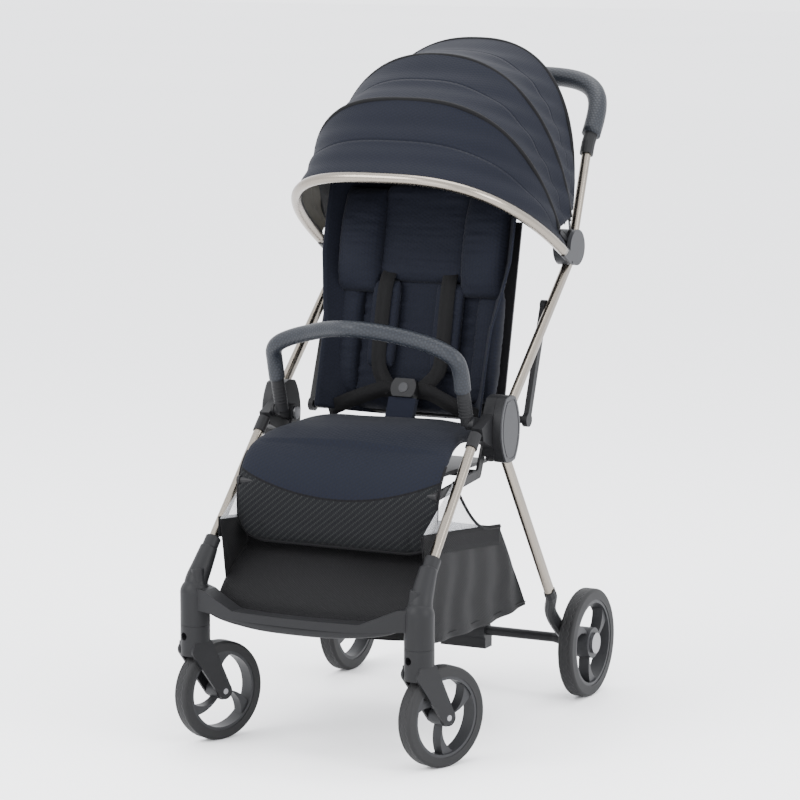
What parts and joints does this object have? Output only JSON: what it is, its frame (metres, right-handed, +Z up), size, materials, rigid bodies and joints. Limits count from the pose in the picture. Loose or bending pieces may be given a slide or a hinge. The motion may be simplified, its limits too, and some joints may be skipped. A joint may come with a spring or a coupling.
{
  "type": "folding baby stroller",
  "caption": "Folding stroller with swivelling front casters, braked rear wheels, reclining seat, swing-away bumper bar, pleated canopy, under-seat basket and a loop handle.",
  "frame": {"origin": "on the floor, below the middle of the whole stroller box", "axes": "+Z up, the front of the stroller faces -Y, +X is the child's left"},
  "size_m": [0.483, 0.7568, 1.0632],
  "materials": {
    "satin_tube": "warm satin anodised tube",
    "black_tube": "satin black paint",
    "black_plastic": "fine matt moulded plastic",
    "grey_plastic": "smooth satin grey plastic",
    "wheel_plastic": "satin moulded plastic",
    "tyre": "fine tread, matt",
    "steel": "brushed",
    "grip": "perforated stitched slate-blue leatherette",
    "navy_cloth": "woven navy with a small honeycomb",
    "black_cloth": "smooth black lining cloth"
  },
  "bodies": {
    "chassis": {"hub_housings": "black_plastic", "hub_bolts": "steel", "front_legs": "satin_tube", "footboard": "black_plastic", "basket": "black_cloth", "basket_panels": "black_cloth"},
    "rear_frame": {"rear_knuckles": "black_plastic", "rear_legs": "satin_tube", "rear_brackets": "black_plastic", "crossbar": "black_tube", "rear_axles": "steel", "brake_housing": "black_plastic"},
    "brake_pedal": {"brake_pedal": "grey_plastic"},
    "brake_pin_left": {"brake_pin_left": "steel"},
    "brake_pin_right": {"brake_pin_right": "steel"},
    "rear_wheel_left": {"rear_tyre_left": "tyre", "rear_rim_left": "wheel_plastic"},
    "rear_wheel_right": {"rear_tyre_right": "tyre", "rear_rim_right": "wheel_plastic"},
    "caster_left": {"caster_fork_left": "black_plastic", "front_axle_left": "steel"},
    "caster_right": {"caster_fork_right": "black_plastic", "front_axle_right": "steel"},
    "front_wheel_left": {"front_tyre_left": "tyre", "front_rim_left": "wheel_plastic"},
    "front_wheel_right": {"front_tyre_right": "tyre", "front_rim_right": "wheel_plastic"},
    "push_bar": {"push_tubes": "satin_tube", "push_knuckles": "black_plastic", "hub_covers": "grey_plastic", "back_hinges": "black_plastic", "canopy_pivots": "grey_plastic", "handle_collars": "black_plastic", "handle_grip": "grip", "fold_housing": "black_plastic", "canopy_hoop_rear": "black_tube", "canopy_back": "navy_cloth"},
    "fold_slider": {"fold_slider": "grey_plastic"},
    "canopy_fold_rear": {"canopy_washer_rear": "black_plastic", "canopy_panel_rear": "navy_cloth"},
    "canopy_middle": {"canopy_hoop_middle": "black_tube"},
    "canopy_fold_middle": {"canopy_washer_middle": "black_plastic", "canopy_panel_middle": "navy_cloth"},
    "canopy_front": {"canopy_hoop_front": "black_tube"},
    "canopy_fold_front": {"canopy_washer_front": "black_plastic", "canopy_panel_front": "navy_cloth"},
    "canopy_bow": {"canopy_bow": "satin_tube", "bow_knuckles": "grey_plastic"},
    "seat": {"seat_frame": "black_tube", "seat_pad": "navy_cloth", "crotch_pad": "navy_cloth", "buckle": "black_plastic"},
    "buckle_button": {"buckle_button": "grey_plastic"},
    "leg_rest": {"leg_rest": "navy_cloth"},
    "backrest": {"backrest_frame": "black_tube", "backrest_pad": "navy_cloth", "shoulder_pads": "navy_cloth"},
    "bumper": {"bumper_arms": "black_plastic"},
    "bumper_bar": {"bumper_bar": "grip"}
  },
  "joints": [
    {"name": "fold", "type": "hinge", "parent": "chassis", "child": "push_bar", "pos_m": [0, -0.057, 0.479], "axis": [1, 0, 0], "range_deg": [0, 145], "deforming": ["basket_panels"]},
    {"name": "rear_fold", "type": "hinge", "parent": "chassis", "child": "rear_frame", "pos_m": [0, -0.057, 0.479], "axis": [1, 0, 0], "range_deg": [-41.12, 0]},
    {"name": "seat_fold", "type": "hinge", "parent": "chassis", "child": "seat", "pos_m": [0, -0.057, 0.479], "axis": [1, 0, 0], "range_deg": [0, 43.15]},
    {"name": "bumper_fold", "type": "hinge", "parent": "chassis", "child": "bumper", "pos_m": [0, -0.057, 0.479], "axis": [1, 0, 0], "range_deg": [0, 87.2]},
    {"name": "recline", "type": "hinge", "parent": "push_bar", "child": "backrest", "pos_m": [0, 0.045, 0.478], "axis": [1, 0, 0], "range_deg": [-45, 0]},
    {"name": "leg_rest_tilt", "type": "hinge", "parent": "seat", "child": "leg_rest", "pos_m": [0, -0.236, 0.398], "axis": [1, 0, 0], "range_deg": [-65, 0]},
    {"name": "bumper_gate", "type": "hinge", "parent": "bumper", "child": "bumper_bar", "pos_m": [0.1618, -0.12801, 0.54504], "axis": [0, 0.289, -0.9573], "range_deg": [-80, 0]},
    {"name": "caster_left_swivel", "type": "hinge", "parent": "chassis", "child": "caster_left", "pos_m": [0.192, -0.338, 0.2], "axis": [0, 0, 1], "continuous": true},
    {"name": "caster_right_swivel", "type": "hinge", "parent": "chassis", "child": "caster_right", "pos_m": [-0.192, -0.338, 0.2], "axis": [0, 0, 1], "continuous": true},
    {"name": "front_wheel_left_spin", "type": "hinge", "parent": "caster_left", "child": "front_wheel_left", "pos_m": [0.20805, -0.29703, 0.0776], "axis": [0.9311, -0.3649, 0], "continuous": true},
    {"name": "front_wheel_right_spin", "type": "hinge", "parent": "caster_right", "child": "front_wheel_right", "pos_m": [-0.17594, -0.29703, 0.0776], "axis": [0.9311, -0.3649, 0], "continuous": true},
    {"name": "rear_wheel_left_spin", "type": "hinge", "parent": "rear_frame", "child": "rear_wheel_left", "pos_m": [0.218, 0.223, 0.0885], "axis": [1, 0, 0], "continuous": true},
    {"name": "rear_wheel_right_spin", "type": "hinge", "parent": "rear_frame", "child": "rear_wheel_right", "pos_m": [-0.218, 0.223, 0.0885], "axis": [1, 0, 0], "continuous": true},
    {"name": "brake", "type": "hinge", "parent": "rear_frame", "child": "brake_pedal", "pos_m": [0, 0.234, 0.0895], "axis": [-1, 0, 0], "range_deg": [0, 20]},
    {"name": "brake_pin_left_slide", "type": "slide", "parent": "rear_frame", "child": "brake_pin_left", "axis": [1, 0, 0], "range_m": [0, 0.0041]},
    {"name": "brake_pin_right_slide", "type": "slide", "parent": "rear_frame", "child": "brake_pin_right", "axis": [-1, 0, 0], "range_m": [0, 0.0041]},
    {"name": "fold_release", "type": "slide", "parent": "push_bar", "child": "fold_slider", "axis": [1, 0, 0], "range_m": [0, 0.01], "stiffness_N_per_m": 300},
    {"name": "buckle_press", "type": "slide", "parent": "seat", "child": "buckle_button", "axis": [0, 0.9063, -0.4226], "range_m": [0, 0.002], "stiffness_N_per_m": 500},
    {"name": "canopy_rear_crease", "type": "hinge", "parent": "push_bar", "child": "canopy_fold_rear", "pos_m": [0, 0.17, 0.74013], "axis": [1, 0, 0], "range_deg": [-14.31, 0], "deforming": ["canopy_panel_rear"]},
    {"name": "canopy", "type": "hinge", "parent": "canopy_fold_rear", "child": "canopy_middle", "pos_m": [0, 0.17, 0.74013], "axis": [1, 0, 0], "range_deg": [-14.3, 0]},
    {"name": "canopy_middle_crease", "type": "hinge", "parent": "canopy_middle", "child": "canopy_fold_middle", "pos_m": [0, 0.17, 0.74013], "axis": [1, 0, 0], "range_deg": [-14.96, 0], "deforming": ["canopy_panel_middle"]},
    {"name": "canopy_front_rib", "type": "hinge", "parent": "canopy_fold_middle", "child": "canopy_front", "pos_m": [0, 0.17, 0.74013], "axis": [1, 0, 0], "range_deg": [-14.96, 0]},
    {"name": "canopy_front_crease", "type": "hinge", "parent": "canopy_front", "child": "canopy_fold_front", "pos_m": [0, 0.17, 0.74013], "axis": [1, 0, 0], "range_deg": [-17.56, 0], "deforming": ["canopy_panel_front"]},
    {"name": "canopy_bow_tilt", "type": "hinge", "parent": "canopy_fold_front", "child": "canopy_bow", "pos_m": [0, 0.17, 0.74013], "axis": [1, 0, 0], "range_deg": [-17.56, 0]}
  ],
  "couplings": [
    {"joint": "rear_fold", "follows": "fold", "ratio": -0.2835},
    {"joint": "seat_fold", "follows": "fold", "ratio": 0.2975},
    {"joint": "bumper_fold", "follows": "fold", "ratio": 0.6013},
    {"joint": "canopy_rear_crease", "follows": "fold", "ratio": -0.098621},
    {"joint": "canopy_middle_crease", "follows": "fold", "ratio": -0.1031},
    {"joint": "canopy_front_crease", "follows": "fold", "ratio": -0.12103},
    {"joint": "canopy_front_rib", "follows": "canopy", "ratio": 1.0455},
    {"joint": "canopy_bow_tilt", "follows": "canopy", "ratio": 1.2273},
    {"joint": "brake_pin_left_slide", "follows": "brake", "m_per_rad": 0.011459},
    {"joint": "brake_pin_right_slide", "follows": "brake", "m_per_rad": 0.011459}
  ]
}
